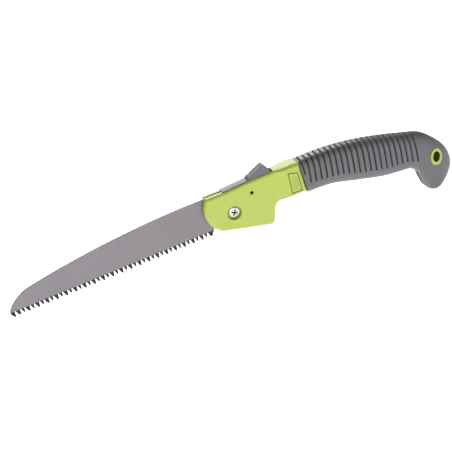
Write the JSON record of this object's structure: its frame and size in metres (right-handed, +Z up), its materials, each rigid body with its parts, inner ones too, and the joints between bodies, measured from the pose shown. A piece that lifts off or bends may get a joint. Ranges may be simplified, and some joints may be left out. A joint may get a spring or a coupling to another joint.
{
  "type": "folding pruning saw",
  "caption": "Folding pruning saw with a toothed steel blade that locks open and folds into the slot of a ribbed, hooked handle with a hanging eyelet.",
  "frame": {"origin": "under the middle of the open saw's bounding box, level with the lowest point of the handle's hook", "axes": "+X along the saw from the blade's tip towards the handle, with the tooth line parallel to X; +Y across the flat of the blade, away from the side with the pivot screw's head; +Z up, from the teeth towards the blade's back and the thumb latch"},
  "size_m": [0.4212, 0.02, 0.0926],
  "materials": {
    "blade_steel": "satin ground spring steel",
    "lime_plastic": "lime green moulded nylon, soft sheen",
    "grey_rubber": "matt thermoplastic rubber",
    "grey_plastic": "grey moulded plastic, fine texture",
    "bright_steel": "bright zinc plated steel",
    "plate_steel": "plain stamped steel"
  },
  "bodies": {
    "handle": {"frame_near": "lime_plastic", "frame_far": "lime_plastic", "grip_near": "grey_rubber", "grip_far": "grey_rubber", "pivot_screw": "bright_steel", "screw_washer": "bright_steel", "pivot_bush": "bright_steel", "blade_washer_near": "bright_steel", "blade_washer_far": "bright_steel", "nut_washer": "bright_steel", "pivot_nut": "bright_steel", "stop_pin": "bright_steel", "latch_pin": "bright_steel", "latch_spring": "bright_steel", "hanging_eyelet": "lime_plastic", "eyelet_ring": "lime_plastic", "case_screws": "bright_steel"},
    "blade": {"blade": "blade_steel"},
    "latch": {"lock_plate": "plate_steel", "latch_cap": "grey_plastic"}
  },
  "joints": [
    {"name": "blade_fold", "type": "hinge", "parent": "handle", "child": "blade", "pos_m": [-0.00449, 0, 0.06026], "axis": [0, -1, 0], "range_deg": [0, 166]},
    {"name": "latch_press", "type": "hinge", "parent": "handle", "child": "latch", "pos_m": [0.01471, 0, 0.07276], "axis": [0, 1, 0], "range_deg": [0, 8], "stiffness_Nm_per_rad": 0.5, "springref_deg": -11.46, "deforming": ["latch_spring"]}
  ]
}
